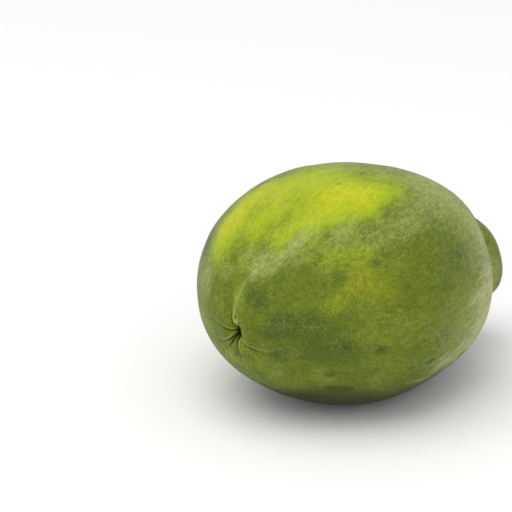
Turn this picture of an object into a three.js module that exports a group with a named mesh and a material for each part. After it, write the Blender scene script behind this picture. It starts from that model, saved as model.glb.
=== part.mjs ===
import * as THREE from 'three';

// A whole short-necked papaya, lying on its side. Millimetres, +Z up.
// The fruit's axis runs along X, from the puckered blossom end at -X to the neck and stem scar at +X.
// It grew as one piece, so it is one closed solid.

// Body of the fruit. FULLNESS makes an ellipse fuller or slimmer in waves along its length,
// and OVAL makes the section wider than tall
const LENGTH = 175;
const BODY_RADIUS = 60;
const WIDEST_AT = 68;
const FULLNESS = [0.007, -0.032, 0.01, -0.016, 0.022];
const OVAL = 0.088;
const THREE_SIDED = 0.032;

// How far the middle line strays sideways and downwards at either pole
const BLOSSOM_SHIFT = { y: 8.2, z: -0.7 };
const NECK_SHIFT = { y: -8.8, z: -29 };

// Neck and the shoulder that runs into it
const NECK_RADIUS = 27.7;
const NECK_LENGTH = 24.2;
const NECK_ROUNDING = 21.5;
const NECK_BLUNTNESS = 2.4;
const SHOULDER_BLEND = 9.7;

// Underside: the fuller side that the fruit settled on, its tilt and the flat spot it rests on
const SWELL = { height: 4.4, station: 102, reach: 30, angle: 251, spread: 43 };
const STEM_END_RAISED = 5.8;
const REST_CUT = 0.9;

// Five broad ribs, one for each carpel, lower at the blossom end by the share of atBlossom
const RIBS = { count: 5, height: 1, turn: -11, atBlossom: 0.3 };

// Blossom end: a small pit with a plump rim, where the folds of the skin run together.
// A fold starts at an angle round the pit and swings by another over a distance from it.
// Its length is how far out it keeps a third of its depth, and its columns lie between it and the next.
// Each lip is LIP.width wide, but narrower near the pit, and folds are shallower up to LIP.deepFrom.
// A fold that leans has one lip narrower and steeper by that share, and the other wider and gentler
const PIT = { depth: 5.5, radius: 2.4, slit: 0.3, slitAngle: 80 };
const RIM = { height: 0.9, at: 7, spread: 4 };
const LIP = { width: 4.2, least: 0.1, widening: 0.4, deepFrom: 4 };
const FOLDS = [
  { start: 8, swing: 0, over: 20, length: 11, depth: 2.1, lean: -0.3, columns: 14 },
  { start: 66, swing: 60, over: 75, length: 14, depth: 2.4, lean: -0.4, columns: 10 },
  { start: 108, swing: 40, over: 75, length: 5, depth: 1.4, lean: 0, columns: 22 },
  { start: 233, swing: -45, over: 30, length: 13, depth: 2.5, lean: 0.4, columns: 12 },
  { start: 272, swing: 0, over: 20, length: 14, depth: 2.2, lean: 0.4, columns: 10 },
  { start: 298, swing: 13, over: 20, length: 14, depth: 2.4, lean: 0, columns: 8 },
  { start: 311, swing: 24, over: 22, length: 12, depth: 2.2, lean: -0.3, columns: 12 },
];

// Soft furrows that carry on from the two longest folds
const FURROWS = [
  { fold: 1, depth: 0.7, halfWidth: 6, reach: 34, spread: 20 },
  { fold: 3, depth: 0.6, halfWidth: 5, reach: 38, spread: 24 },
];

// Stem scar: an oval cork pad with a raised edge and rings inside it
const SCAR = { radius: 9.5, oval: 0.17, ovalAngle: 20, fade: 12 };
const SCAR_WAVES = [
  { count: 3, share: 0.06, turn: -19 },
  { count: 7, share: 0.03, turn: 0 },
];
const SCAR_RELIEF = { rim: 0.8, rimWidth: 1.7, sink: 1.2, ring: 0.3, ringSpacing: 3.6 };

// Grid of the skin: rows run round it, and crowd towards the poles by the bunching.
// Columns crowd beside the folds until the reach of CROWDED_TO, and are even past EVEN_FROM + EVEN_OVER
const ROWS = 52;
const ROW_BUNCHING = 0.75;
const CROWDED_TO = 60;
const EVEN_FROM = 60;
const EVEN_OVER = 80;

// Share of the outline on either side of a point that gives its outward direction
const NORMAL_STEP = 0.002;

const DEGREE = Math.PI / 180;

function clamp(value, low, high) {
  return Math.min(high, Math.max(low, value));
}

function mix(from, to, share) {
  return from + (to - from) * share;
}

function smoothStep(value) {
  const t = clamp(value, 0, 1);
  return t * t * (3 - 2 * t);
}

function bell(distance, spread) {
  return Math.exp(-((distance / spread) ** 2));
}

// Shortest turn from one angle to another, in degrees between -180 and 180
function turnBetween(from, to) {
  return THREE.MathUtils.euclideanModulo(to - from + 180, 360) - 180;
}

// The larger of two radii, rounded over where they meet
function roundedMax(a, b, blend) {
  const share = clamp(0.5 + (0.5 * (a - b)) / blend, 0, 1);
  return mix(b, a, share) + blend * share * (1 - share);
}

// Radius of the body alone: an ellipse made fuller or slimmer along its length
function bodyRadius(station) {
  const sweep = Math.acos(clamp(1 - (2 * station) / (LENGTH - NECK_LENGTH), -1, 1));
  let fullness = 1;
  FULLNESS.forEach((share, index) => {
    fullness += share * Math.cos((index + 1) * sweep);
  });
  return BODY_RADIUS * Math.sin(sweep) * fullness;
}

// Radius of the neck alone: a blunt round-ended stub
function neckRadius(station) {
  const x = clamp((station - (LENGTH - NECK_ROUNDING)) / NECK_ROUNDING, 0, 1);
  return NECK_RADIUS * Math.sqrt(1 - x ** NECK_BLUNTNESS);
}

function meridianRadius(station) {
  const body = bodyRadius(station);
  if (station < WIDEST_AT) {
    return body;
  }
  const neck = neckRadius(station);
  const blend = Math.min(SHOULDER_BLEND, body + neck);
  return blend > 0 ? roundedMax(body, neck, blend) : 0;
}

// Station and radius of the outline at a share of the way from pole to pole
function meridian(share) {
  const station = (LENGTH / 2) * (1 - Math.cos(Math.PI * share));
  return { station, radius: meridianRadius(station) };
}

// Outward direction of the outline, as its parts along the axis and away from it
function meridianNormal(share) {
  if (share < NORMAL_STEP) {
    return { along: -1, away: 0 };
  }
  if (share > 1 - NORMAL_STEP) {
    return { along: 1, away: 0 };
  }
  const before = meridian(share - NORMAL_STEP);
  const after = meridian(share + NORMAL_STEP);
  const along = before.radius - after.radius;
  const away = after.station - before.station;
  const size = Math.hypot(along, away);
  return { along: along / size, away: away / size };
}

function foldAngle(fold, reach) {
  return fold.start + fold.swing * smoothStep(reach / fold.over);
}

// Two plump lips that meet in a crease: arcs of a circle on either side of it
function creaseDepth(offset, halfWidth) {
  const t = clamp(1 - Math.abs(offset) / halfWidth, 0, 1);
  return 1 - Math.sqrt(1 - t * t);
}

// Height of the pit, its rim and the folds over the smooth blossom end
function blossomRelief(angle, radius, reach) {
  const pitRadius = PIT.radius * (1 + PIT.slit * Math.cos(2 * (angle - PIT.slitAngle) * DEGREE));
  let height = RIM.height * bell(reach - RIM.at, RIM.spread) - PIT.depth * bell(reach, pitRadius);
  for (const fold of FOLDS) {
    const offset = radius * DEGREE * turnBetween(foldAngle(fold, reach), angle);
    const lean = 1 + fold.lean * Math.sign(offset);
    const halfWidth = lean * Math.min(LIP.width, LIP.least + LIP.widening * reach);
    const depth = fold.depth * bell(reach, fold.length) * smoothStep(reach / LIP.deepFrom);
    height -= depth * creaseDepth(offset, halfWidth);
  }
  for (const furrow of FURROWS) {
    const offset = radius * DEGREE * turnBetween(foldAngle(FOLDS[furrow.fold], reach), angle);
    height -= furrow.depth * bell(offset, furrow.halfWidth) * bell(reach - furrow.reach, furrow.spread);
  }
  return height;
}

// Height of the cork pad over the end of the neck
function scarRelief(radius, station) {
  if (station < LENGTH - NECK_ROUNDING) {
    return 0;
  }
  const edge = radius - SCAR.radius;
  const inside = 1 - smoothStep(0.5 + edge / SCAR_RELIEF.rimWidth);
  const ring = SCAR_RELIEF.ring * Math.cos((2 * Math.PI * radius) / SCAR_RELIEF.ringSpacing);
  return SCAR_RELIEF.rim * bell(edge, SCAR_RELIEF.rimWidth) - inside * (SCAR_RELIEF.sink - ring);
}

// The grid's rings are drawn into an uneven oval round the scar, so that they follow its edge
function scarOutline(angle, radius, station) {
  if (station < LENGTH - NECK_ROUNDING) {
    return 1;
  }
  const oval = SCAR.oval * Math.cos(2 * (angle - SCAR.ovalAngle) * DEGREE);
  let waves = 0;
  for (const wave of SCAR_WAVES) {
    waves += wave.share * Math.sin(wave.count * (angle - wave.turn) * DEGREE);
  }
  const uneven = waves * smoothStep(radius / SCAR.radius);
  return 1 + (oval + uneven) * (1 - smoothStep((radius - SCAR.radius) / SCAR.fade));
}

// Oval section, rounder towards both ends
function sectionFactor(angle, station) {
  const strength = Math.sqrt(Math.sin((Math.PI * station) / LENGTH));
  const oval = OVAL * Math.cos(2 * angle * DEGREE) + THREE_SIDED * Math.cos(3 * angle * DEGREE);
  return 1 + strength * oval;
}

function ribHeight(angle, station) {
  const strength = Math.sin((Math.PI * station) / LENGTH) * mix(RIBS.atBlossom, 1, station / LENGTH);
  return RIBS.height * strength * Math.cos(RIBS.count * (angle - RIBS.turn) * DEGREE);
}

function swellHeight(angle, station) {
  const around = turnBetween(SWELL.angle, angle);
  return SWELL.height * bell(station - SWELL.station, SWELL.reach) * bell(around, SWELL.spread);
}

// How far the fruit's middle line has strayed from a straight axis
function middleShift(station) {
  const blossom = clamp((WIDEST_AT - station) / WIDEST_AT, 0, 1) ** 2;
  const neck = clamp((station - WIDEST_AT) / (LENGTH - WIDEST_AT), 0, 1) ** 2;
  return {
    y: BLOSSOM_SHIFT.y * blossom + NECK_SHIFT.y * neck,
    z: BLOSSOM_SHIFT.z * blossom + NECK_SHIFT.z * neck,
  };
}

// A point of the skin, before the fruit is laid down
function skinPoint(share, angle) {
  const { station, radius } = meridian(share);
  const normal = meridianNormal(share);
  const reach = Math.hypot(station, radius);
  const relief = blossomRelief(angle, radius, reach) + scarRelief(radius, station);
  const section = sectionFactor(angle, station) * scarOutline(angle, radius, station);
  const swollen = radius * section + ribHeight(angle, station) + swellHeight(angle, station);
  const away = swollen + normal.away * relief;
  const shift = middleShift(station);
  return new THREE.Vector3(
    station - WIDEST_AT + normal.along * relief,
    away * Math.cos(angle * DEGREE) + shift.y,
    away * Math.sin(angle * DEGREE) + shift.z,
  );
}

// Which fold a column follows, and its share of the way to the next fold
function columnPlan() {
  const plan = [];
  FOLDS.forEach((fold, index) => {
    for (let step = 0; step < fold.columns; step += 1) {
      plan.push({ fold: index, share: step / fold.columns });
    }
  });
  return plan;
}

// Columns follow the folds and crowd beside them near the pit, and spread out evenly further on
function columnAngle(plan, column, reach) {
  const { fold, share } = plan[column];
  const next = (fold + 1) % FOLDS.length;
  const crowded = (1 - Math.cos(Math.PI * share)) / 2;
  const from = foldAngle(FOLDS[fold], reach);
  const to = foldAngle(FOLDS[next], reach) + (next === 0 ? 360 : 0);
  const folded = mix(from, to, mix(crowded, share, smoothStep(reach / CROWDED_TO)));
  const even = FOLDS[0].start + (360 * column) / plan.length;
  return mix(folded, even, smoothStep((reach - EVEN_FROM) / EVEN_OVER));
}

// Rows crowd towards both poles, where the detail is
function rowShare(row) {
  const t = row / ROWS;
  return t - (ROW_BUNCHING * Math.sin(2 * Math.PI * t)) / (2 * Math.PI);
}

function skinVertices(plan) {
  const vertices = [skinPoint(0, 0)];
  for (let row = 1; row < ROWS; row += 1) {
    const share = rowShare(row);
    const { station, radius } = meridian(share);
    const reach = Math.hypot(station, radius);
    for (let column = 0; column < plan.length; column += 1) {
      vertices.push(skinPoint(share, columnAngle(plan, column, reach)));
    }
  }
  vertices.push(skinPoint(1, 0));
  return vertices;
}

function skinTriangles(columns) {
  const triangles = [];
  const vertex = (row, column) => 1 + (row - 1) * columns + (column % columns);
  const last = 1 + (ROWS - 1) * columns;
  for (let column = 0; column < columns; column += 1) {
    triangles.push(0, vertex(1, column + 1), vertex(1, column));
    for (let row = 1; row < ROWS - 1; row += 1) {
      const a = vertex(row, column);
      const b = vertex(row, column + 1);
      const c = vertex(row + 1, column + 1);
      const d = vertex(row + 1, column);
      triangles.push(a, b, c, a, c, d);
    }
    triangles.push(last, vertex(ROWS - 1, column), vertex(ROWS - 1, column + 1));
  }
  return triangles;
}

// Tips the fruit to its resting attitude, presses its lowest part flat,
// and moves it so that the origin is under the middle of its box, on the surface it lies on
function layDown(vertices) {
  const axis = new THREE.Vector3(0, 1, 0);
  vertices.forEach((vertex) => vertex.applyAxisAngle(axis, -STEM_END_RAISED * DEGREE));
  const box = new THREE.Box3().setFromPoints(vertices);
  const floor = box.min.z + REST_CUT;
  const middle = box.getCenter(new THREE.Vector3());
  vertices.forEach((vertex) => {
    vertex.set(vertex.x - middle.x, vertex.y - middle.y, Math.max(vertex.z, floor) - floor);
  });
}

function makePapaya() {
  const plan = columnPlan();
  const vertices = skinVertices(plan);
  layDown(vertices);
  const geometry = new THREE.BufferGeometry().setFromPoints(vertices);
  geometry.setIndex(skinTriangles(plan.length));
  geometry.computeVertexNormals();
  const skin = new THREE.MeshStandardMaterial({ color: 0x6f8034, roughness: 0.5, metalness: 0 });
  const papaya = new THREE.Mesh(geometry, skin);
  papaya.name = 'papaya';
  return papaya;
}

const fruit = new THREE.Group();
fruit.add(makePapaya());

export default fruit;
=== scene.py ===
# %% [markdown]
# # A green papaya, from measured solid to ripening skin
# A papaya grows as one piece, so this lesson makes one piece too. The measured solid gives its size
# and its resting place. We keep both, and put a much finer skin in its place, with the puckered
# blossom end, the cork scar of the stem, and a colour that is half way from green to yellow.

# %% Load the measured frame
import math

import bpy
import numpy as np
from mathutils import Matrix, Vector


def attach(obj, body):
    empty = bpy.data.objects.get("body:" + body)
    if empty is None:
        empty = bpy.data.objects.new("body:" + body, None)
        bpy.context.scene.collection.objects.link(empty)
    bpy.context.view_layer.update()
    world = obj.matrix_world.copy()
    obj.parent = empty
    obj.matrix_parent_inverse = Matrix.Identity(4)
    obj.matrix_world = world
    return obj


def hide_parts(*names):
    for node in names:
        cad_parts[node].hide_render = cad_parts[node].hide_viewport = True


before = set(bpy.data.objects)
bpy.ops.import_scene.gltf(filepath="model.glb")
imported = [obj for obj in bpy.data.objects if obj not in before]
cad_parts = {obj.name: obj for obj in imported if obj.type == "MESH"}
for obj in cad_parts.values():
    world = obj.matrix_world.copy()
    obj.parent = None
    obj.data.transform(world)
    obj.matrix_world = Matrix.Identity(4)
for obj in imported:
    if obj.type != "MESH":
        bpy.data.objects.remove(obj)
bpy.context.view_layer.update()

MM = 0.001

# %% [markdown]
# ## The outline of the fruit
# Cut a papaya in half lengthways and the outline is nearly an ellipse, with a blunt neck at the stem
# end. We could trace it with points, but a formula is easier to change: an ellipse that five small
# numbers make a little fuller or slimmer on its way, and a stub for the neck, rounded into it at
# the shoulder.
# All sizes here are millimetres, the same ones that the measured solid is made from.

# %% Outline of body and neck
LENGTH = 175.0
BODY_RADIUS = 60.0
WIDEST_AT = 68.0
FULLNESS = (0.007, -0.032, 0.01, -0.016, 0.022)
NECK_RADIUS = 27.7
NECK_LENGTH = 24.2
NECK_ROUNDING = 21.5
NECK_BLUNTNESS = 2.4
SHOULDER_BLEND = 9.7


def mix(start, end, share):
    return start + (end - start) * share


def smooth_step(value):
    t = np.clip(value, 0.0, 1.0)
    return t * t * (3.0 - 2.0 * t)


def bell(distance, spread):
    return np.exp(-((distance / spread) ** 2))


def turn_between(start, end):
    """Shortest turn from one angle to another, in degrees."""
    return (end - start + 180.0) % 360.0 - 180.0


def rounded_max(a, b, blend):
    share = np.clip(0.5 + 0.5 * (a - b) / blend, 0.0, 1.0)
    return mix(b, a, share) + blend * share * (1.0 - share)


def body_radius(station):
    sweep = np.arccos(np.clip(1.0 - 2.0 * station / (LENGTH - NECK_LENGTH), -1.0, 1.0))
    fullness = 1.0
    for index, share in enumerate(FULLNESS):
        fullness = fullness + share * np.cos((index + 1) * sweep)
    return BODY_RADIUS * np.sin(sweep) * fullness


def neck_radius(station):
    along = np.clip((station - (LENGTH - NECK_ROUNDING)) / NECK_ROUNDING, 0.0, 1.0)
    return NECK_RADIUS * np.sqrt(1.0 - along ** NECK_BLUNTNESS)


def outline(share):
    """Station along the axis and radius, at a share of the way from pole to pole."""
    station = LENGTH / 2.0 * (1.0 - np.cos(np.pi * share))
    body = body_radius(station)
    neck = neck_radius(station)
    blend = np.clip(body + neck, 1e-6, SHOULDER_BLEND)
    return station, np.where(station < WIDEST_AT, body, rounded_max(body, neck, blend))


print("radius at the widest station, mm:", round(float(body_radius(np.float64(WIDEST_AT))), 1))

# %% [markdown]
# ## The section across the fruit
# Across, a papaya is never quite round. It has five carpels, which show as very soft ribs, and this
# one has settled on its side: it is wider than it is tall, and fuller underneath, towards the neck.
# The middle line also bends, so the neck droops. Each of these is one small function of where we are
# along the fruit (the station) and around it (the angle, 90 degrees being straight up).

# %% Oval, ribs, swelling and bend
OVAL = 0.088
THREE_SIDED = 0.032
BLOSSOM_SHIFT = (8.2, -0.7)
NECK_SHIFT = (-8.8, -29.0)
SWELL_HEIGHT, SWELL_STATION, SWELL_REACH = 4.4, 102.0, 30.0
SWELL_ANGLE, SWELL_SPREAD = 251.0, 43.0
RIB_COUNT, RIB_HEIGHT, RIB_TURN = 5, 1.0, -11.0
RIB_AT_BLOSSOM = 0.3


def section_factor(angle, station):
    around = np.radians(angle)
    strength = np.sqrt(np.clip(np.sin(np.pi * station / LENGTH), 0.0, 1.0))
    return 1.0 + strength * (OVAL * np.cos(2.0 * around) + THREE_SIDED * np.cos(3.0 * around))


def rib_height(angle, station):
    strength = np.sin(np.pi * station / LENGTH) * mix(RIB_AT_BLOSSOM, 1.0, station / LENGTH)
    return RIB_HEIGHT * strength * np.cos(RIB_COUNT * np.radians(angle - RIB_TURN))


def swell_height(angle, station):
    around = turn_between(SWELL_ANGLE, angle)
    return SWELL_HEIGHT * bell(station - SWELL_STATION, SWELL_REACH) * bell(around, SWELL_SPREAD)


def middle_shift(station):
    blossom = np.clip((WIDEST_AT - station) / WIDEST_AT, 0.0, 1.0) ** 2
    neck = np.clip((station - WIDEST_AT) / (LENGTH - WIDEST_AT), 0.0, 1.0) ** 2
    return [BLOSSOM_SHIFT[i] * blossom + NECK_SHIFT[i] * neck for i in (0, 1)]


print("the neck's end hangs by, mm:", -NECK_SHIFT[1])


# %% [markdown]
# ## The puckered blossom end
# Where the flower sat, the skin is drawn into a small pit, and folds run into it like the neck of a
# tied bag. A fold is two plump lips that meet in a crease, so its section is two arcs of a circle.
# A bump map would look flat from the side, so the folds are real shape. Each fold starts at its own
# angle round the pit and swings a little as it runs out.

# %% Pit, rim and folds
PIT_DEPTH, PIT_RADIUS = 5.5, 2.4
PIT_SLIT, PIT_SLIT_ANGLE = 0.3, 80.0
RIM_HEIGHT, RIM_AT, RIM_SPREAD = 0.9, 7.0, 4.0
LIP_WIDTH, LIP_LEAST, LIP_WIDENING = 4.2, 0.1, 0.4
LIP_DEEP_FROM = 4.0
# A fold starts at an angle, swings by another over a distance from the pit, and reaches a length.
# Its lean makes the lip on one side of the crease steeper than the other.
FOLDS = (
    {"start": 8.0, "swing": 0.0, "over": 20.0, "length": 11.0, "depth": 2.1, "lean": -0.3},
    {"start": 66.0, "swing": 60.0, "over": 75.0, "length": 14.0, "depth": 2.4, "lean": -0.4},
    {"start": 108.0, "swing": 40.0, "over": 75.0, "length": 5.0, "depth": 1.4, "lean": 0.0},
    {"start": 233.0, "swing": -45.0, "over": 30.0, "length": 13.0, "depth": 2.5, "lean": 0.4},
    {"start": 272.0, "swing": 0.0, "over": 20.0, "length": 14.0, "depth": 2.2, "lean": 0.4},
    {"start": 298.0, "swing": 13.0, "over": 20.0, "length": 14.0, "depth": 2.4, "lean": 0.0},
    {"start": 311.0, "swing": 24.0, "over": 22.0, "length": 12.0, "depth": 2.2, "lean": -0.3},
)
FURROWS = (
    {"fold": 1, "depth": 0.7, "half_width": 6.0, "reach": 34.0, "spread": 20.0},
    {"fold": 3, "depth": 0.6, "half_width": 5.0, "reach": 38.0, "spread": 24.0},
)


def fold_angle(fold, reach):
    return fold["start"] + fold["swing"] * smooth_step(reach / fold["over"])


def crease_depth(offset, half_width):
    t = np.clip(1.0 - np.abs(offset) / half_width, 0.0, 1.0)
    return 1.0 - np.sqrt(1.0 - t * t)


def fold_relief(angle, radius, reach):
    """How deep the folds and their furrows cut into the smooth skin."""
    depth = np.zeros_like(reach)
    for fold in FOLDS:
        offset = radius * np.radians(turn_between(fold_angle(fold, reach), angle))
        lean = 1.0 + fold["lean"] * np.sign(offset)
        half_width = lean * np.minimum(LIP_WIDTH, LIP_LEAST + LIP_WIDENING * reach)
        strength = fold["depth"] * bell(reach, fold["length"]) * smooth_step(reach / LIP_DEEP_FROM)
        depth += strength * crease_depth(offset, half_width)
    for furrow in FURROWS:
        middle = fold_angle(FOLDS[furrow["fold"]], reach)
        offset = radius * np.radians(turn_between(middle, angle))
        along = bell(reach - furrow["reach"], furrow["spread"])
        depth += furrow["depth"] * bell(offset, furrow["half_width"]) * along
    return depth


def pit_relief(angle, reach):
    slit = 1.0 + PIT_SLIT * np.cos(2.0 * np.radians(angle - PIT_SLIT_ANGLE))
    rim = RIM_HEIGHT * bell(reach - RIM_AT, RIM_SPREAD)
    return rim - PIT_DEPTH * bell(reach, PIT_RADIUS * slit)


print("folds:", len(FOLDS), "of which run on as furrows:", len(FURROWS))


# %% [markdown]
# ## The cork scar of the stem
# The stalk snapped off at the end of the neck and left an oval pad of dry cork. It has a raised edge,
# a sunken middle and rings. The rings of our grid are drawn into the same uneven oval, so the edge of
# the scar runs along them and stays crisp.

# %% Scar outline and relief
SCAR_RADIUS, SCAR_OVAL, SCAR_OVAL_ANGLE = 9.5, 0.17, 20.0
SCAR_FADE = 12.0
SCAR_WAVES = ({"count": 3, "share": 0.06, "turn": -19.0}, {"count": 7, "share": 0.03, "turn": 0.0})
SCAR_RIM, SCAR_RIM_WIDTH = 0.8, 1.7
SCAR_SINK, SCAR_RING, SCAR_RING_SPACING = 1.2, 0.3, 3.6


def at_neck_end(station):
    return station > LENGTH - NECK_ROUNDING


def scar_outline(angle, radius, station):
    oval = SCAR_OVAL * np.cos(2.0 * np.radians(angle - SCAR_OVAL_ANGLE))
    waves = sum(w["share"] * np.sin(w["count"] * np.radians(angle - w["turn"])) for w in SCAR_WAVES)
    uneven = waves * smooth_step(radius / SCAR_RADIUS)
    fade = 1.0 - smooth_step((radius - SCAR_RADIUS) / SCAR_FADE)
    return np.where(at_neck_end(station), 1.0 + (oval + uneven) * fade, 1.0)


def scar_relief(radius, station):
    edge = radius - SCAR_RADIUS
    inside = 1.0 - smooth_step(0.5 + edge / SCAR_RIM_WIDTH)
    ring = SCAR_RING * np.cos(2.0 * np.pi * radius / SCAR_RING_SPACING)
    relief = SCAR_RIM * bell(edge, SCAR_RIM_WIDTH) - inside * (SCAR_SINK - ring)
    return np.where(at_neck_end(station), relief, 0.0)


print("scar from rim to rim, mm:", 2.0 * SCAR_RADIUS)


# %% [markdown]
# ## A sphere as the start
# A UV sphere already has the grid we want: rings from pole to pole and columns round them. We add
# one, lay its poles along X, and then move each vertex to its own place on the skin.

# %% Add the sphere with its poles along X
ROWS = 280
COLUMNS = 320

bpy.ops.object.select_all(action="DESELECT")
bpy.ops.mesh.primitive_uv_sphere_add(segments=COLUMNS, ring_count=ROWS, radius=1.0)
papaya = bpy.context.object
papaya.name = "papaya_fruit"
papaya.data.name = "papaya_fruit"
papaya.rotation_euler = (0.0, -math.pi / 2.0, 0.0)
bpy.ops.object.transform_apply(location=False, rotation=True, scale=False)
print("skin grid:", len(papaya.data.vertices), "vertices")

# %% [markdown]
# ## Rows and columns
# Every vertex still knows where it was on the sphere, so we can read its row and its column from
# there. The rows crowd towards the poles and the columns crowd beside the folds, because that is
# where the detail is. A list gives each gap between two folds its share of the columns.

# %% Read each vertex's row and column from the sphere
ROW_BUNCHING = 0.75
CROWDED_TO = 60.0
EVEN_FROM, EVEN_OVER = 60.0, 80.0
FOLD_COLUMNS = (14, 10, 22, 12, 10, 8, 12)


def read_points(mesh):
    flat = np.empty(len(mesh.vertices) * 3)
    mesh.vertices.foreach_get("co", flat)
    return flat.reshape(-1, 3)


def write_points(mesh, points):
    mesh.vertices.foreach_set("co", points.ravel())
    mesh.update()


def row_share(t):
    return t - ROW_BUNCHING * np.sin(2.0 * np.pi * t) / (2.0 * np.pi)


def column_angle(column_share, reach):
    """Angle of a column: beside the folds near the pit, evenly spread further out."""
    angles = np.zeros_like(reach)
    total = sum(FOLD_COLUMNS)
    begun = 0
    for index, count in enumerate(FOLD_COLUMNS):
        following = (index + 1) % len(FOLDS)
        start = fold_angle(FOLDS[index], reach)
        end = fold_angle(FOLDS[following], reach) + (360.0 if following == 0 else 0.0)
        share = (column_share * total - begun) / count
        crowded = (1.0 - np.cos(np.pi * share)) / 2.0
        folded = mix(start, end, mix(crowded, share, smooth_step(reach / CROWDED_TO)))
        here = (share >= 0.0) & (share < 1.0)
        angles = np.where(here, folded, angles)
        begun += count
    even = FOLDS[0]["start"] + 360.0 * column_share
    return mix(angles, even, smooth_step((reach - EVEN_FROM) / EVEN_OVER))


sphere = read_points(papaya.data)
row = np.arccos(np.clip(-sphere[:, 0], -1.0, 1.0)) / np.pi
turned = np.arctan2(sphere[:, 2], sphere[:, 1]) / (2.0 * np.pi)
column = np.round(turned * COLUMNS) % COLUMNS / COLUMNS
share = row_share(row)
station, radius = outline(share)
reach = np.hypot(station, radius)
angle = column_angle(column, reach)
print("stations from", station.min(), "to", station.max(), "mm")

# %% [markdown]
# ## Move every vertex onto the skin
# Relief is added along the outline's own outward direction, so the pit goes straight in at the pole
# and the furrows go straight in at the side.

# %% Place the vertices
NORMAL_STEP = 0.002


def outline_normal(share):
    before = outline(np.clip(share - NORMAL_STEP, 0.0, 1.0))
    after = outline(np.clip(share + NORMAL_STEP, 0.0, 1.0))
    along = before[1] - after[1]
    away = after[0] - before[0]
    along = np.where(share < NORMAL_STEP, -1.0, np.where(share > 1.0 - NORMAL_STEP, 1.0, along))
    away = np.where((share < NORMAL_STEP) | (share > 1.0 - NORMAL_STEP), 0.0, away)
    size = np.hypot(along, away)
    return along / size, away / size


def skin_points(share, angle, station, radius, reach):
    along, away = outline_normal(share)
    relief = pit_relief(angle, reach) - fold_relief(angle, radius, reach) + scar_relief(radius, station)
    section = section_factor(angle, station) * scar_outline(angle, radius, station)
    swollen = radius * section + rib_height(angle, station) + swell_height(angle, station)
    out = swollen + away * relief
    shift_y, shift_z = middle_shift(station)
    around = np.radians(angle)
    x = station - WIDEST_AT + along * relief
    return np.stack([x, out * np.cos(around) + shift_y, out * np.sin(around) + shift_z], axis=1)


points = skin_points(share, angle, station, radius, reach)
print("length along the axis, mm:", round(float(np.ptp(points[:, 0])), 1))

# %% [markdown]
# ## Lay the fruit down
# The stem end is raised a few degrees, the lowest part is pressed flat, as a heavy fruit's skin is,
# and the whole is moved so that the origin is on the surface, under the middle of the fruit's box.

# %% Tip, press and centre
STEM_END_RAISED = 5.8
REST_CUT = 0.9

tip = np.array(Matrix.Rotation(math.radians(-STEM_END_RAISED), 3, "Y"))
points = points @ tip.T
low = points.min(axis=0)
high = points.max(axis=0)
origin = np.array([(low[0] + high[0]) / 2.0, (low[1] + high[1]) / 2.0, low[2] + REST_CUT])
points = points - origin
points[:, 2] = np.maximum(points[:, 2], 0.0)
axis_middle = -origin * MM
write_points(papaya.data, points * MM)
print("skin box, mm:", np.round(points.min(axis=0), 1), np.round(points.max(axis=0), 1))

# %% [markdown]
# ## Small dents
# A real fruit is never as even as its formula. The Displace modifier with a soft cloud texture gives
# it shallow dents and swellings a few centimetres across, deep enough to break up the shine.

# %% Displace by soft clouds and apply
DENT_SIZE = 22.0 * MM
DENT_HEIGHT = 0.9 * MM


def dent(piece, name, size, height):
    clouds = bpy.data.textures.new(name, "CLOUDS")
    clouds.noise_scale = size
    clouds.noise_depth = 1
    bpy.context.view_layer.objects.active = piece
    modifier = piece.modifiers.new(name, "DISPLACE")
    modifier.texture = clouds
    modifier.texture_coords = "LOCAL"
    modifier.mid_level = 0.5
    modifier.strength = height
    bpy.ops.object.modifier_apply(modifier=name)


dent(papaya, "soft_dents", DENT_SIZE, DENT_HEIGHT)
points = read_points(papaya.data)
points[:, 2] = np.maximum(points[:, 2], 0.0)
write_points(papaya.data, points)
bpy.ops.object.select_all(action="DESELECT")
papaya.select_set(True)
bpy.ops.object.shade_smooth()
print("dents of", DENT_HEIGHT / MM, "mm")
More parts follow.
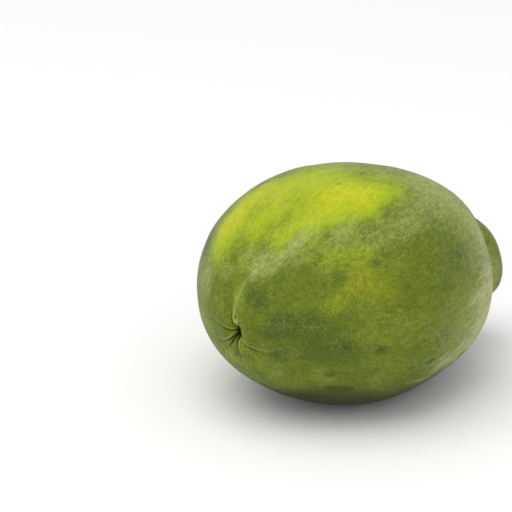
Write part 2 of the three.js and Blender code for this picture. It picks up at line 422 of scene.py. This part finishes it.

# %% [markdown]
# ## Weights painted on the skin
# The colour of a papaya follows the fruit: it ripens from yellow patches that run lengthways, and keeps
# a grey bloom of wax where nothing has rubbed it. Its folds and its underside are painted dark as
# painted shade, and a few patches paint shade or a pale rim of sheen. By hand we would paint these
# as weights. Here each weight is a sum of soft oval patches. Every patch was placed by where it is on
# the fruit, and the sum is kept on the vertices as an attribute for the material to read.

# %% Patches: station, angle, how far along, how many degrees around, strength
RIPE_PATCHES = (
    (34.0, 52.0, 11.0, 10.0, 0.85),
    (22.0, 51.0, 9.0, 11.0, 0.3),
    (46.0, 56.0, 12.0, 10.0, 0.3),
    (54.0, 108.0, 13.0, 11.0, 0.75),
    (38.0, 108.0, 9.0, 8.0, 0.3),
    (58.0, 118.0, 12.0, 7.0, 0.35),
    (30.0, 104.0, 8.0, 9.0, 0.22),
    (23.0, 99.0, 6.0, 9.0, 0.3),
    (48.0, 82.0, 30.0, 28.0, 0.52),
    (66.0, 88.0, 18.0, 18.0, 0.28),
    (52.0, 60.0, 10.0, 8.0, 0.3),
    (86.0, 102.0, 14.0, 14.0, 0.25),
    (84.0, 74.0, 12.0, 12.0, 0.2),
    (3.5, 46.0, 1.8, 12.0, 0.25),
    (15.0, 58.0, 6.0, 16.0, 0.15),
    (1.5, 200.0, 1.5, 40.0, 0.1),
    (3.0, 290.0, 3.0, 40.0, 0.28),
    (29.0, 132.0, 9.0, 10.0, 0.25),
    (37.0, 141.0, 9.0, 8.0, 0.3),
    (40.0, 330.0, 30.0, 22.0, 0.45),
    (28.0, 76.0, 8.0, 9.0, 0.3),
    (27.0, 41.0, 9.0, 8.0, 0.5),
    (20.0, 82.0, 7.0, 9.0, 0.22),
    (27.0, 67.0, 6.0, 7.0, 0.2),
    (35.0, 84.0, 7.0, 8.0, 0.2),
    (52.0, 76.0, 12.0, 10.0, 0.22),
    (40.5, 115.5, 6.0, 6.0, 0.22),
    (52.0, 125.0, 9.0, 8.0, 0.42),
    (69.0, 121.0, 11.0, 9.0, 0.35),
    (84.0, 119.0, 12.0, 9.0, 0.25),
)
OLIVE_PATCHES = (
    (20.0, 156.0, 5.0, 7.0, 0.45),
    (31.0, 151.0, 8.0, 7.0, 0.9),
    (37.0, 160.0, 7.0, 8.0, 0.35),
    (24.0, 168.0, 10.0, 10.0, 0.1),
    (60.0, 165.0, 24.0, 18.0, 0.15),
    (60.0, 300.0, 20.0, 20.0, 0.4),
)
# Dark green patches; a few of them are painted shade or a painted shadow, marked below.
DEEP_GREEN_AND_SHADE_PATCHES = (
    (4.5, 115.0, 2.4, 20.0, 0.95),
    # Painted shade on the shadowed side of a fold at the pit.
    (1.8, 283.0, 1.7, 8.0, 0.75),
    (1.4, 222.0, 1.2, 8.0, 0.5),
    (11.0, 180.0, 6.0, 28.0, 0.5),
    (5.2, 162.0, 3.4, 16.0, 0.95),
    (13.0, 160.0, 5.0, 9.0, 0.35),
    (2.8, 174.0, 1.6, 16.0, 0.4),
    (4.2, 207.0, 2.8, 14.0, 0.7),
    (19.0, 172.0, 7.0, 8.0, 0.35),
    # Painted shadow on the left edge, where a neighbouring fruit lay.
    (34.0, 24.0, 9.0, 9.0, 0.8),
    (84.0, 160.0, 20.0, 8.0, 0.5),
    (20.0, 191.0, 10.0, 13.0, 0.5),
    (40.0, 196.0, 14.0, 12.0, 0.25),
    (120.0, 20.0, 30.0, 25.0, 0.6),
    (152.0, 165.0, 12.0, 60.0, 0.15),
    (32.8, 189.5, 2.0, 2.4, 1.0),
    (20.8, 186.5, 1.8, 3.0, 1.0),
    (18.3, 209.0, 1.8, 3.5, 0.8),
    (57.0, 200.0, 9.0, 3.0, 0.15),
)
BLOOM_PATCHES = (
    (13.0, 28.0, 7.0, 16.0, 0.7),
    (9.0, 62.0, 5.0, 12.0, 0.4),
    (13.0, 95.0, 7.0, 9.0, 0.8),
    (15.0, 79.0, 6.0, 8.0, 0.5),
    (19.0, 121.0, 5.0, 6.0, 0.4),
    (12.0, 107.0, 4.0, 10.0, 0.4),
    (148.0, 192.0, 14.0, 36.0, 0.85),
    (152.0, 120.0, 14.0, 30.0, 0.35),
    (23.0, 110.0, 9.0, 5.5, 1.0),
    (36.0, 124.0, 9.0, 6.0, 0.5),
    (27.0, 70.0, 5.0, 6.0, 0.35),
    (38.0, 84.0, 10.0, 9.0, 0.3),
    (60.0, 136.0, 28.0, 10.0, 0.6),
    (78.0, 196.0, 28.0, 16.0, 0.5),
    (104.0, 125.0, 22.0, 28.0, 0.8),
    (114.0, 170.0, 24.0, 42.0, 0.6),
    (90.0, 78.0, 9.0, 12.0, 0.6),
    (90.0, 300.0, 40.0, 30.0, 0.5),
)
# Pale scuffs; the patches on the flank near the neck and on the shoulder paint a pale rim as painted
# sheen.
SCUFF_AND_RIM_SHEEN_PATCHES = (
    (106.0, 195.0, 19.0, 17.0, 0.75),
    (86.0, 209.0, 18.0, 9.0, 0.7),
    (64.0, 212.0, 14.0, 9.0, 0.36),
    (0.4, 93.0, 0.25, 12.0, 0.45),
    (96.0, 185.0, 16.0, 6.0, 0.2),
    (114.0, 160.0, 15.0, 36.0, 0.4),
    (78.0, 82.0, 8.0, 9.0, 0.35),
)
BLOTCH_PATCHES = (
    (20.0, 233.0, 2.4, 5.0, 0.75),
    (23.0, 223.0, 4.0, 5.0, 0.9),
    (27.5, 221.0, 3.0, 4.0, 0.7),
    (32.8, 189.5, 1.7, 2.0, 0.6),
    (20.8, 186.5, 1.8, 3.0, 0.5),
    (18.3, 209.0, 1.3, 2.5, 0.4),
    (57.3, 202.0, 3.5, 2.0, 0.55),
    (47.6, 202.5, 4.5, 2.2, 0.5),
    (81.4, 200.0, 5.0, 1.2, 0.65),
    (66.0, 200.0, 7.0, 2.4, 0.45),
    (96.0, 192.0, 5.0, 1.5, 0.5),
)
# The underside gets a painted shade of deep green, strongest at this angle, fading towards both ends.
UNDER_ANGLE, UNDER_SPREAD, UNDER_FADE = 265.0, 52.0, 30.0
COUNTS_FROM = 0.3
kept_names = []


def painted(patches):
    weight = np.zeros_like(station)
    for at, towards, along, around, strength in patches:
        weight += strength * bell(station - at, along) * bell(turn_between(towards, angle), around)
    return np.clip(weight, 0.0, 1.0)


def keep_weight(name, weight):
    layer = papaya.data.attributes.new(name, "FLOAT", "POINT")
    layer.data.foreach_set("value", weight.astype(np.float32))
    kept_names.append(name)
    covered = 100.0 * float((weight > COUNTS_FROM).mean())
    print("weight", name, "covers", round(covered, 1), "% of the vertices")


keep_weight("ripe", painted(RIPE_PATCHES))
keep_weight("olive", painted(OLIVE_PATCHES))
keep_weight("deep_green_and_shade", painted(DEEP_GREEN_AND_SHADE_PATCHES))
keep_weight("bloom", painted(BLOOM_PATCHES))
# Scuffs, and a painted sheen on the rim near the neck.
keep_weight("scuff_and_rim_sheen", painted(SCUFF_AND_RIM_SHEEN_PATCHES))
keep_weight("blotch", painted(BLOTCH_PATCHES))
# Painted shade on the underside.
ends_fade = smooth_step(station / UNDER_FADE) * smooth_step((LENGTH - station) / UNDER_FADE)
keep_weight("under", bell(turn_between(UNDER_ANGLE, angle), UNDER_SPREAD) * ends_fade)

# %% [markdown]
# ## Folds, lips and pit as weights: painted shade and painted highlight
# The creases are painted dark as painted shade, and the lips of the folds pale as painted highlight.
# Both follow the same lines as the folds, so they are worked out from them rather than painted a
# second time. A pale crest of painted highlight also runs from the pit up over the fruit, and the pit
# itself is painted as a dark slit of shade. The weight of the lips and crest is the share of pale
# colour that shows, so it never passes three quarters.

# %% Weights that follow the folds
# Painted shade in the creases: its width near and far from the pit, and how dark it is per fold.
CREASE_WIDTH, CREASE_LEAST, CREASE_WIDENING = 0.75, 0.12, 0.1
CREASE_SHADES = (0.75, 0.6, 0.3, 0.95, 0.95, 0.8, 0.8)
CREASE_REACH = 1.1
FULL_DEPTH, FULL_LEAN = 2.4, 0.4
SLIT_LENGTH, SLIT_WIDTH, SLIT_SHIFT, SLIT_REACH = 3.4, 1.4, 0.2, 9.0
# Painted highlight on the steep lip of each fold and on a pale crest.
LIP_AT, LIP_LINE, LIP_FROM, LIP_HIGHLIGHT_SHARE = 1.2, 0.42, 5.0, 0.525
CREST = {"start": 79.0, "swing": 41.0, "over": 70.0}
CREST_FROM, CREST_TO, CREST_WIDTH, CREST_WIDENING = 6.0, 26.0, 0.25, 0.04
CREST_HIGHLIGHT_SHARE, BRIGHTEST_HIGHLIGHT = 0.375, 0.75

creases = np.zeros_like(reach)
lips = np.zeros_like(reach)
for fold, shade in zip(FOLDS, CREASE_SHADES):
    offset = radius * np.radians(turn_between(fold_angle(fold, reach), angle))
    fade = bell(reach, CREASE_REACH * fold["length"]) * fold["depth"] / FULL_DEPTH
    crease_width = np.minimum(CREASE_WIDTH, CREASE_LEAST + CREASE_WIDENING * reach)
    creases = np.maximum(creases, shade * fade * bell(offset, crease_width))
    steep_lip = bell(offset + LIP_AT * np.sign(fold["lean"]), LIP_LINE)
    lips = np.maximum(lips, fade * steep_lip * abs(fold["lean"]) / FULL_LEAN)
lips = lips * smooth_step(reach / LIP_FROM)

# The crest is a line of painted highlight.
crest_offset = radius * np.radians(turn_between(fold_angle(CREST, reach), angle))
crest_highlight = bell(crest_offset, CREST_WIDTH + CREST_WIDENING * reach)
crest_highlight = crest_highlight * bell(reach, CREST_TO) * smooth_step(reach / CREST_FROM)

# The pit is painted as a dark slit of shade.
slit_turn = math.radians(PIT_SLIT_ANGLE)
slit_across = radius * np.cos(np.radians(angle)) - SLIT_SHIFT
slit_upward = radius * np.sin(np.radians(angle))
slit = bell(slit_across * math.cos(slit_turn) + slit_upward * math.sin(slit_turn), SLIT_LENGTH)
slit = slit * bell(slit_upward * math.cos(slit_turn) - slit_across * math.sin(slit_turn), SLIT_WIDTH)

# The crease weight holds painted shade, the lip weight painted highlight.
keep_weight("crease", np.clip(creases + slit * bell(station, SLIT_REACH), 0.0, 1.0))
keep_weight("lip", np.clip(LIP_HIGHLIGHT_SHARE * lips + CREST_HIGHLIGHT_SHARE * crest_highlight, 0.0, BRIGHTEST_HIGHLIGHT))

# %% [markdown]
# ## The scar as weights
# The scar is all measured from its own edge: cork inside it, a dark hollow just within, a thin dark
# line on the rim, and a yellow halo of young ripe skin around.

# %% Weights that follow the scar
CORK_EDGE = 2.4
HOLLOW_AT, HOLLOW_WIDTH = 2.2, 1.0
RIM_LINE, RIM_SHADE = 0.9, 0.7
HALO_WIDTH = 5.0

from_edge = np.where(at_neck_end(station), radius - SCAR_RADIUS, LENGTH)
hollow = bell(from_edge + HOLLOW_AT, HOLLOW_WIDTH)
keep_weight("cork", 1.0 - smooth_step(0.5 + from_edge / CORK_EDGE))
keep_weight("dark_cork", np.maximum(hollow, RIM_SHADE * bell(from_edge, RIM_LINE)))
keep_weight("ring", 0.5 + 0.5 * np.cos(2.0 * np.pi * radius / SCAR_RING_SPACING))
keep_weight("halo", bell(from_edge, HALO_WIDTH))

# %% [markdown]
# ## Coordinates that run with the fruit
# Scuffs run lengthways and bend with the fruit, which plain object coordinates don't. So each vertex
# also keeps its station and its place on a round bar, and a noise that reads them runs lengthways.

# %% Keep a place along the fibres
FIBRE_RADIUS = 40.0
around = np.radians(angle)
bar = [station, FIBRE_RADIUS * np.cos(around), FIBRE_RADIUS * np.sin(around)]
fibres = papaya.data.attributes.new("fibres", "FLOAT_VECTOR", "POINT")
fibres.data.foreach_set("vector", (np.stack(bar, axis=1) * MM).astype(np.float32).ravel())
print("attributes on the skin:", len(papaya.data.attributes))

# %% [markdown]
# ## Helpers for materials
# Colours are written as the hex values that a paint program shows. Blender works in linear light, so
# one function turns them. Another adds one node, with its settings and what its sockets hold: a
# plain value, or another node's output to link. The third starts an empty material.

# %% Colour and node helpers
def linear(hex_colour):
    channels = [int(hex_colour[i:i + 2], 16) / 255.0 for i in (1, 3, 5)]
    return [c / 12.92 if c <= 0.04045 else ((c + 0.055) / 1.055) ** 2.4 for c in channels] + [1.0]


def add_node(tree, kind, settings=None, sockets=None):
    node = tree.nodes.new(kind)
    for name, value in (settings or {}).items():
        setattr(node, name, value)
    for name, value in (sockets or {}).items():
        if isinstance(value, bpy.types.NodeSocket):
            tree.links.new(value, node.inputs[name])
        else:
            node.inputs[name].default_value = value
    return node


def new_material(name):
    material = bpy.data.materials.new(name)
    material.use_nodes = True
    material.node_tree.nodes.clear()
    return material


skin = new_material("papaya_skin_waxy_cuticle")
tree = skin.node_tree
print("a mid grey in linear light:", round(linear("#808080")[0], 3))

# %% [markdown]
# ## The one move that paints a skin
# Nearly every mark on the skin is made by the same move. Take a painted weight, add some noise to it
# so that its border grows ragged, and sharpen the sum between two values. The result is the share of
# a colour that shows. A noise is a half on average, so every noise that is added lifts the sum, and
# start and end allow for it. The colours and their shares wait in one list, and are laid over each
# other at the end, as a painter glazes.

# %% Sum, share and layers
MIX_SHARE, MIX_UNDER, MIX_OVER, MIX_RESULT = 0, 6, 7, 2


def sum_of(base, parts):
    """A value and an amount of each part."""
    total = base
    for value, amount in parts:
        sockets = {0: value, 1: amount, 2: total}
        total = add_node(tree, "ShaderNodeMath", {"operation": "MULTIPLY_ADD"}, sockets).outputs[0]
    return total


def share_shown(base, start, end, parts=(), at_start=0.0, at_end=1.0, within=None):
    """Goes softly from one share to another while the sum goes from start to end.

    Where a share called within is given, the result is only that much of it.
    """
    sockets = {
        "Value": sum_of(base, parts), "From Min": start, "From Max": end,
        "To Min": at_start, "To Max": at_end,
    }
    settings = {"interpolation_type": "SMOOTHSTEP"}
    share = add_node(tree, "ShaderNodeMapRange", settings, sockets).outputs[0]
    if within is not None:
        both = {0: share, 1: within}
        share = add_node(tree, "ShaderNodeMath", {"operation": "MULTIPLY"}, both).outputs[0]
    return share


def lay_colours(ground, layers):
    """Lay each colour over all that came before, by its share."""
    colour = linear(ground)
    for over, share in layers:
        sockets = {MIX_SHARE: share, MIX_UNDER: colour, MIX_OVER: linear(over)}
        colour = add_node(tree, "ShaderNodeMix", {"data_type": "RGBA"}, sockets).outputs[MIX_RESULT]
    return colour


weights = {
    name: add_node(tree, "ShaderNodeAttribute", {"attribute_name": name}).outputs["Fac"]
    for name in kept_names
}
print("weights to paint with:", ", ".join(weights))

# %% [markdown]
# ## The mottles
# Look closely at a papaya and its green is made of mottles of several sizes, each drawn out a little
# along the fruit. One noise looks like a cloud. Several, with sizes judged from the photo, look
# like skin. The last one is for the crumbs of the cork. The real grain of the skin is finer than the
# camera shows at this distance, so the finest noise is drawn at about a millimetre, which shows.

# %% Noises of six sizes
DRAWN_OUT, STREAKED_OUT = 0.5, 0.12

place = add_node(tree, "ShaderNodeTexCoord").outputs["Object"]
fibre = add_node(tree, "ShaderNodeAttribute", {"attribute_name": "fibres"}).outputs["Vector"]
longer = add_node(
    tree, "ShaderNodeMapping", sockets={"Vector": place, "Scale": (DRAWN_OUT, 1.0, 1.0)}
).outputs[0]
streaked = add_node(
    tree, "ShaderNodeMapping", sockets={"Vector": fibre, "Scale": (STREAKED_OUT, 1.0, 1.0)}
).outputs[0]

# Coordinates, size in millimetres, detail, roughness, distortion
NOISES = (
    (longer, 34.0, 3.0, 0.55, 0.0),
    (longer, 9.0, 6.0, 0.62, 0.3),
    (longer, 2.0, 4.0, 0.7, 0.0),
    (place, 0.9, 2.0, 0.6, 0.0),
    (streaked, 1.2, 2.0, 0.55, 0.0),
    (place, 2.2, 6.0, 0.7, 0.0),
)
broad, mottle, speckle, stipple, lines, crumbs = [
    add_node(
        tree, "ShaderNodeTexNoise",
        sockets={"Vector": coordinates, "Scale": 1.0 / (size * MM), "Detail": detail,
                 "Roughness": roughness, "Distortion": distortion},
    ).outputs[0]
    for coordinates, size, detail, roughness, distortion in NOISES
]
print("noises:", len(NOISES))

# %% [markdown]
# ## Green ground, ripening yellow, grey bloom, and painted shade underneath
# The yellow breaks through where the green gives way first, so its weight gets mottles of every size,
# and lime shows before yellow does. The bloom of wax is a thin grey veil. The underside is the
# darkest part in the photo, and here the pale floor lights it, so it is painted a deep green as
# painted shade.

# %% Colours of the skin
BASE_GREEN = "#707d16"
LEAF_GREEN = "#5b7019"
PALE_GREEN = "#7c8b2a"
DARK_GREEN = "#4b5d19"
LIME = "#9aad0e"
RIPE_YELLOW = "#bcc00c"
OLIVE_YELLOW = "#8a920f"
BLOOM_GREY = "#98a656"
# Deep green for the painted shade on the underside.
UNDER_SHADE_GREEN = "#272f06"

ripening = sum_of(weights["ripe"], ((mottle, 0.5), (broad, 0.35), (speckle, 0.25)))
skin_layers = [
    (BASE_GREEN, share_shown(mottle, 0.22, 0.5, at_start=0.35)),
    (LEAF_GREEN, share_shown(broad, 0.6, 0.35, at_end=0.5)),
    (PALE_GREEN, share_shown(broad, 0.58, 0.85, ((mottle, 0.3),), at_end=0.7)),
    # Dark green, and painted shade where its weight holds it.
    (DARK_GREEN, share_shown(weights["deep_green_and_shade"], 0.35, 1.1, ((mottle, 0.5),), at_end=0.85)),
    (LIME, share_shown(ripening, 0.575, 1.275)),
    (RIPE_YELLOW, share_shown(ripening, 1.045, 1.775)),
    (OLIVE_YELLOW, share_shown(weights["olive"], 0.5, 1.2, ((mottle, 0.9),), at_end=0.8)),
    (BLOOM_GREY, share_shown(weights["bloom"], 0.35, 1.25, ((speckle, 0.5),), at_end=0.75)),
    # Painted shade on the underside.
    (UNDER_SHADE_GREEN, share_shown(weights["under"], 0.2, 0.7, at_end=0.95)),
]
print("layers so far:", len(skin_layers))

# %% [markdown]
# ## Small marks, and a painted sheen on the rim
# Handling leaves its own marks: pale scuffs that run lengthways, small dark bruises, a few brown
# ragged blotches. The same pale beige also paints a pale rim on the flank and shoulder towards the
# neck, as painted sheen. The breathing pores (lenticels) are pale dots, less than a millimetre across.
# Dots come from a Voronoi texture, one in each cell, and only some of its cells are used. Its
# coordinates are led astray by a noise, so that no dot is round.

# %% Scuffs, bruises, blotches and pores
# Beige for scuffs, and for a painted sheen on the rim.
SCUFF_AND_SHEEN_BEIGE = "#b5b576"
BRUISE_BROWN = "#41420f"
PORE_PALE = "#a9ad5c"
STRAY_SIZE, STRAY = 3.0 * MM, 2.5 * MM
DOT_CORE, LOT_EDGE = 0.4, 0.02
BRUISES = {"spacing": 15.0 * MM, "dot": 0.13, "chance": 0.3, "strength": 0.5}
PORES = {"spacing": 4.0 * MM, "dot": 0.1, "chance": 0.5, "strength": 0.45}

wander = add_node(tree, "ShaderNodeTexNoise", sockets={"Vector": place, "Scale": 1.0 / STRAY_SIZE})
stray = add_node(
    tree, "ShaderNodeVectorMath", {"operation": "SCALE"}, {0: wander.outputs["Color"], "Scale": STRAY}
)
uneven = add_node(
    tree, "ShaderNodeVectorMath", {"operation": "ADD"}, {0: place, 1: stray.outputs[0]}
).outputs[0]


def scattered(spacing, dot, chance, strength):
    """Dots in some cells of a Voronoi texture, each dot's radius a share of the spacing."""
    sockets = {"Vector": uneven, "Scale": 1.0 / spacing}
    cells = add_node(tree, "ShaderNodeTexVoronoi", sockets=sockets).outputs
    lot = add_node(tree, "ShaderNodeSeparateColor", sockets={"Color": cells["Color"]}).outputs[0]
    chosen = share_shown(lot, 1.0 - chance, 1.0 - chance + LOT_EDGE, at_end=strength)
    return share_shown(cells["Distance"], dot, DOT_CORE * dot, within=chosen)


# Where the scuffs and the painted sheen show.
scuff_and_sheen_share = share_shown(weights["scuff_and_rim_sheen"], 0.0, 0.3, at_start=0.15)
scuff_and_sheen_noise = ((lines, 0.9), (mottle, 2.0))
blotch_noise = ((mottle, 1.6), (speckle, 1.0))
skin_layers += [
    (SCUFF_AND_SHEEN_BEIGE, share_shown(weights["scuff_and_rim_sheen"], 1.55, 2.4, scuff_and_sheen_noise, at_end=0.9, within=scuff_and_sheen_share)),
    (DARK_GREEN, scattered(**BRUISES)),
    (PORE_PALE, scattered(**PORES)),
    (BRUISE_BROWN, share_shown(weights["blotch"], 1.68, 1.9, blotch_noise, at_end=0.8)),
]
print("layers so far:", len(skin_layers))

# %% [markdown]
# ## Fine grain, and painted glints on a net of wax
# Over its colours the skin has a fine dark grain, fainter in the clean yellow. The grain starts nearly
# full, and three noises open gaps in it. Where the wax lies thick it has shrunk into small plates, as
# leather does, and light catches the cracks between them. These cracks are painted as pale lines of
# painted highlight, and pale specks of painted glint are strewn over the mottles. A Voronoi texture
# that gives the distance to the next cell's edge draws such plates. The real ones are finer than the
# camera shows here, so these are drawn coarser, at 2.4 mm.

# %% Grain, painted glints and plates
GRAIN_DARK = "#2c360c"
# Pale colour of the painted glints and the painted highlight on the cracks.
WAX_GLINT_HIGHLIGHT = "#c3cc86"
PLATE_SIZE = 2.4 * MM
GRAIN_FULL = 0.82
GRAIN_GAPS = ((speckle, 0.55), (stipple, 0.35), (lines, 0.12))

gaps = [(share_shown(value, 0.3, 0.7, at_end=amount), -1.0) for value, amount in GRAIN_GAPS]
grain_left = sum_of(GRAIN_FULL, gaps)
grain = share_shown(ripening, 0.625, 1.325, at_start=0.65, at_end=0.32, within=grain_left)

plates = add_node(
    tree, "ShaderNodeTexVoronoi", {"feature": "DISTANCE_TO_EDGE"},
    {"Vector": uneven, "Scale": 1.0 / PLATE_SIZE},
).outputs["Distance"]
# Painted glints: pale specks in the mottles, and pale lines on the cracks where the bloom lies.
glinting = share_shown(mottle, 0.4, 0.65, at_start=0.04, at_end=0.2)
bloomed = share_shown(weights["bloom"], 0.2, 0.9, at_end=0.22)
glints = share_shown(stipple, 0.45, 0.8, within=glinting)
crack_glints = share_shown(plates, 0.12, 0.0, within=bloomed)
skin_layers += [(GRAIN_DARK, grain), (WAX_GLINT_HIGHLIGHT, sum_of(glints, ((crack_glints, 1.0),)))]
print("layers so far:", len(skin_layers))

# %% [markdown]
# ## Painted lip highlight and crease shade, and the cork of the scar
# The painted highlight on the lips and the painted shade in the creases are laid late, so that no
# mottle covers them, and the scar's halo is the last layer of the skin. Cork is dry, crumbly tissue,
# from tan to brown, and darkest in the hollow inside its edge. It gets layers of its own, and is then
# laid over the skin as one, with a crumbly border.

# %% Finish the skin and lay the cork over it
# Painted shade for the creases, and painted highlight for the lips and crest.
CREASE_SHADE_BROWN = "#1c1a08"
LIP_AND_CREST_HIGHLIGHT = "#b2bf6c"
HALO_YELLOW = "#a5a82c"
CORK_TAN = "#ab8f5c"
CORK_BROWN = "#7a5c34"
CORK_PALE = "#c9b283"
CORK_DARK = "#3b2812"
RING_SHARE = 0.16

halo = share_shown(mottle, 0.3, 0.65, at_start=0.25, at_end=0.8, within=weights["halo"])
skin_layers += [
    # Painted highlight on the lips, then painted shade in the creases.
    (LIP_AND_CREST_HIGHLIGHT, weights["lip"]),
    (CREASE_SHADE_BROWN, share_shown(weights["crease"], 0.2, 0.85, at_end=0.95)),
    (HALO_YELLOW, halo),
]
ridges = sum_of(crumbs, ((weights["ring"], RING_SHARE),))
cork_layers = [
    (CORK_TAN, share_shown(ridges, 0.4, 0.7)),
    (CORK_PALE, share_shown(ridges, 0.62, 0.85, at_end=0.8)),
    (CORK_DARK, share_shown(crumbs, 0.7, 0.4, at_start=0.3, at_end=0.95, within=weights["dark_cork"])),
]
cork = share_shown(weights["cork"], 0.85, 1.0, ((crumbs, 0.9),))
sockets = {
    MIX_SHARE: cork,
    MIX_UNDER: lay_colours(DARK_GREEN, skin_layers),
    MIX_OVER: lay_colours(CORK_BROWN, cork_layers),
}
skin_colour = add_node(tree, "ShaderNodeMix", {"data_type": "RGBA"}, sockets).outputs[MIX_RESULT]
print("layers on the skin:", len(skin_layers), "and on the cork:", len(cork_layers))

# %% [markdown]
# ## The surface
# A papaya's skin is a cuticle with a little wax on it. Plant wax has an index of refraction near
# 1.45, and the skin is satin, so highlights are broad. Cork is matt. A bump map serves only for relief
# that is finer than the grid: wrinkles of a few millimetres, a fraction of a millimetre deep.

# %% Roughness, wrinkles and shader
SKIN_ROUGHNESS, CORK_ROUGHNESS = 0.46, 0.85
WRINKLE_DEPTH, WRINKLE_STRENGTH = 0.3 * MM, 0.6
CORK_DEPTH = 4.0
WAX_IOR, WAX_SHINE = 1.45, 0.18

thick_wax = share_shown(weights["bloom"], 0.1, 0.7, at_start=0.1, at_end=0.6)
both = {0: ridges, 1: cork}
crumbled = add_node(tree, "ShaderNodeMath", {"operation": "MULTIPLY"}, both).outputs[0]
wrinkles = sum_of(
    share_shown(plates, 0.0, 0.25, within=thick_wax),
    ((speckle, 0.8), (mottle, 0.5), (stipple, 0.4), (crumbled, CORK_DEPTH)),
)
sockets = {"Strength": WRINKLE_STRENGTH, "Distance": WRINKLE_DEPTH, "Height": wrinkles}
bump = add_node(tree, "ShaderNodeBump", sockets=sockets).outputs[0]
surface = add_node(
    tree, "ShaderNodeBsdfPrincipled",
    sockets={
        "Base Color": skin_colour,
        "Roughness": share_shown(cork, 0.0, 1.0, at_start=SKIN_ROUGHNESS, at_end=CORK_ROUGHNESS),
        "IOR": WAX_IOR, "Specular IOR Level": WAX_SHINE, "Normal": bump,
    },
)
add_node(tree, "ShaderNodeOutputMaterial", sockets={"Surface": surface.outputs[0]})
papaya.data.materials.append(skin)
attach(papaya, "root")
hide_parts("papaya")
print("skin tree:", len(tree.nodes), "nodes")

# %% [markdown]
# ## The floor
# The fruit lies on a plain pale floor, large enough that its edge stays out of the picture where the
# photographer stood. Matt paint has next to no shine, so only the soft shadow shows on it.

# %% A pale floor
FLOOR_SIZE = 12.0
FLOOR_WHITE = "#f0f0f0"
PAINT_ROUGHNESS, PAINT_SHINE = 0.9, 0.2

bpy.ops.object.select_all(action="DESELECT")
bpy.ops.mesh.primitive_plane_add(size=FLOOR_SIZE)
floor = bpy.context.object
floor.name = "floor"
paint = new_material("floor_matt_white_paint")
painted_floor = add_node(
    paint.node_tree, "ShaderNodeBsdfPrincipled",
    sockets={"Base Color": linear(FLOOR_WHITE), "Roughness": PAINT_ROUGHNESS,
             "Specular IOR Level": PAINT_SHINE},
)
add_node(paint.node_tree, "ShaderNodeOutputMaterial", sockets={"Surface": painted_floor.outputs[0]})
floor.data.materials.append(paint)
print("floor of", FLOOR_SIZE, "m")

# %% [markdown]
# ## Soft light
# The photo has no hard shadow anywhere, so the light is soft and comes from all around: one large
# softbox overhead and to the left, a weaker one in front, and a pale surround that lights the edges.

# %% Two softboxes and a pale surround
FRUIT_MIDDLE = (0.0, 0.0, 0.05)
LAMP_WHITE, SURROUND_WHITE = "#fffdfa", "#fdfeff"
SURROUND_STRENGTH = 0.76
SOFTBOXES = (
    {"name": "key_softbox", "stand": (-0.8, 0.2, 2.4), "size": 2.6, "power": 38.0},
    {"name": "front_fill", "stand": (-1.4, -1.8, 1.2), "size": 1.8, "power": 8.0},
)

for softbox in SOFTBOXES:
    lamp = bpy.data.lights.new(softbox["name"], "AREA")
    lamp.shape = "SQUARE"
    lamp.size = softbox["size"]
    lamp.energy = softbox["power"]
    lamp.color = linear(LAMP_WHITE)[:3]
    light = bpy.data.objects.new(softbox["name"], lamp)
    bpy.context.scene.collection.objects.link(light)
    light.location = softbox["stand"]
    aim = Vector(FRUIT_MIDDLE) - Vector(softbox["stand"])
    light.rotation_euler = aim.to_track_quat("-Z", "Y").to_euler()
    print(softbox["name"], softbox["power"], "W")

surround = bpy.data.worlds.new("pale_surround")
bpy.context.scene.world = surround
surround.use_nodes = True
background = surround.node_tree.nodes["Background"]
background.inputs["Color"].default_value = linear(SURROUND_WHITE)
background.inputs["Strength"].default_value = SURROUND_STRENGTH
bpy.context.scene.view_settings.view_transform = "Standard"

# %% [markdown]
# ## The camera
# The camera stands where the photographer stood. Its place comes from fitting the fruit's outline to
# the photo: an angle round the fruit, an angle above the floor, a distance, and a small shift, because
# the fruit is not in the middle of the picture.

# %% Set up the camera
CAMERA_AZIMUTH = -52.36
CAMERA_ELEVATION = 19.91
CAMERA_DISTANCE = 1.086
AIM_RIGHT, AIM_UP = -0.03876, 0.01187
LENS = 159.56

azimuth = math.radians(CAMERA_AZIMUTH)
elevation = math.radians(CAMERA_ELEVATION)
level = math.cos(elevation)
back = Vector((math.sin(azimuth) * level, -math.cos(azimuth) * level, math.sin(elevation)))
right = Vector((math.cos(azimuth), math.sin(azimuth), 0.0))
up = back.cross(right)
camera_data = bpy.data.cameras.new("camera")
camera_data.lens = LENS
camera = bpy.data.objects.new("camera", camera_data)
bpy.context.scene.collection.objects.link(camera)
turn = Matrix((right, up, back)).transposed().to_4x4()
stand = Vector(axis_middle) + CAMERA_DISTANCE * back + AIM_RIGHT * right + AIM_UP * up
camera.matrix_world = Matrix.Translation(stand) @ turn
bpy.context.scene.camera = camera
print("camera at", [round(v, 3) for v in stand])
